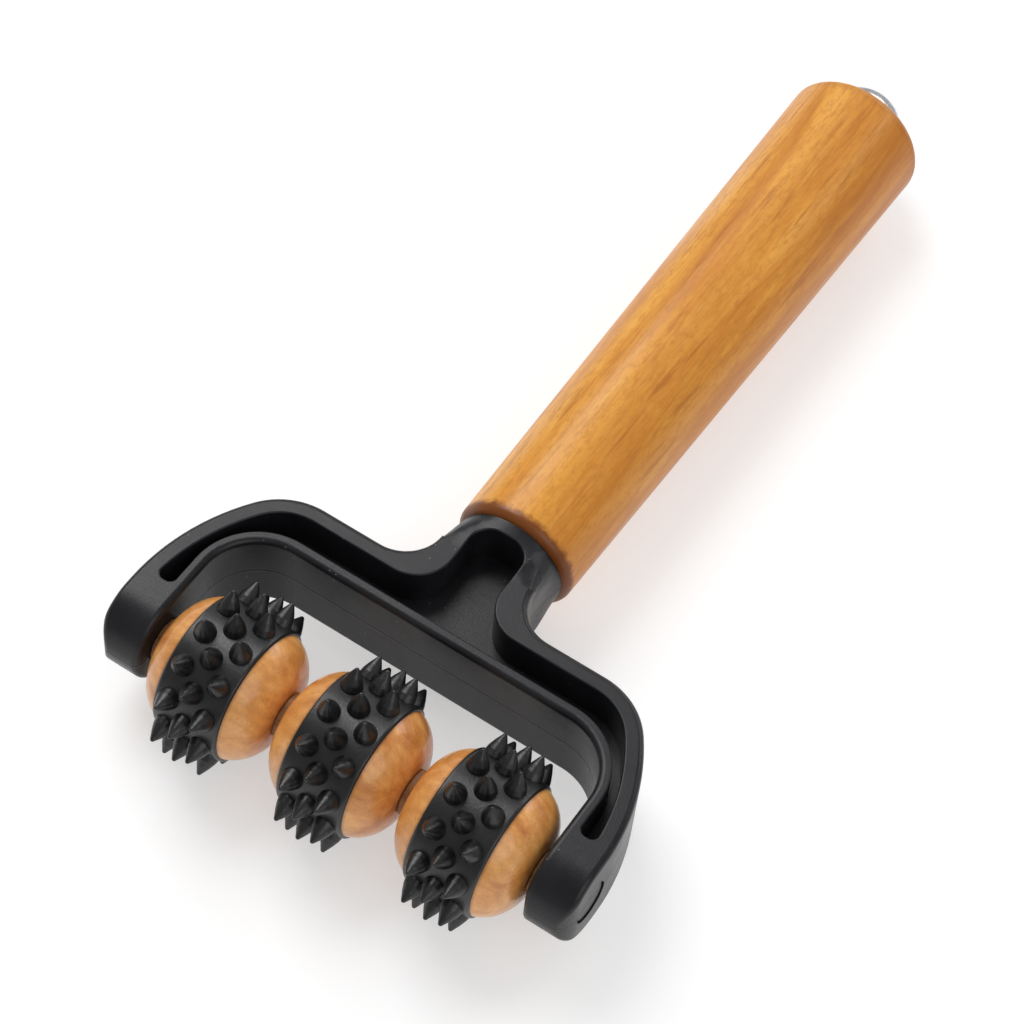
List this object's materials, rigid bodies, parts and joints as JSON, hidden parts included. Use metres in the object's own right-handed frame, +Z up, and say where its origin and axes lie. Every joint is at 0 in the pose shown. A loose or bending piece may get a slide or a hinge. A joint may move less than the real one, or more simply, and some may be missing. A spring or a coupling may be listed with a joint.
{
  "type": "hand-held massage roller",
  "caption": "Straight wooden-handled massage roller: a U-shaped yoke holds an axle of freely spinning wooden beads with spiked rubber bands.",
  "frame": {"origin": "bottom centre of the bounding box, level with the lowest spike tips", "axes": "+X along the axle to the right arm, +Y along the handle towards its domed end, +Z up"},
  "size_m": [0.1122, 0.233, 0.0393],
  "materials": {
    "black_plastic": "satin, finely textured",
    "handle_wood": "clear lacquer",
    "bead_wood": "smooth, waxed",
    "spacer_wood": "turned",
    "black_rubber": "satin",
    "steel": "drawn rod",
    "brass_insert": "machined",
    "dome_metal": "polished",
    "nylon": "natural"
  },
  "bodies": {
    "frame": {"yoke": "black_plastic", "neck_insert": "brass_insert", "handle_stud": "steel", "handle": "handle_wood", "end_dome": "dome_metal", "dome_stud": "steel", "dome_insert": "brass_insert", "axle": "steel", "axle_plug_left": "black_plastic", "axle_plug_right": "black_plastic", "push_nuts": "steel", "spacer_1": "spacer_wood", "spacer_2": "spacer_wood", "spacer_3": "spacer_wood", "spacer_4": "spacer_wood"},
    "roller_1": {"bead_1": "bead_wood", "band_1": "black_rubber", "bead_sleeve_1": "nylon"},
    "roller_2": {"bead_2": "bead_wood", "band_2": "black_rubber", "bead_sleeve_2": "nylon"},
    "roller_3": {"bead_3": "bead_wood", "band_3": "black_rubber", "bead_sleeve_3": "nylon"}
  },
  "joints": [
    {"name": "roller_1_spin", "type": "hinge", "parent": "frame", "child": "roller_1", "pos_m": [-0.03, -0.09689, 0.01963], "axis": [1, 0, 0], "continuous": true},
    {"name": "roller_2_spin", "type": "hinge", "parent": "frame", "child": "roller_2", "pos_m": [0, -0.09689, 0.01963], "axis": [1, 0, 0], "continuous": true},
    {"name": "roller_3_spin", "type": "hinge", "parent": "frame", "child": "roller_3", "pos_m": [0.03, -0.09689, 0.01963], "axis": [1, 0, 0], "continuous": true}
  ]
}
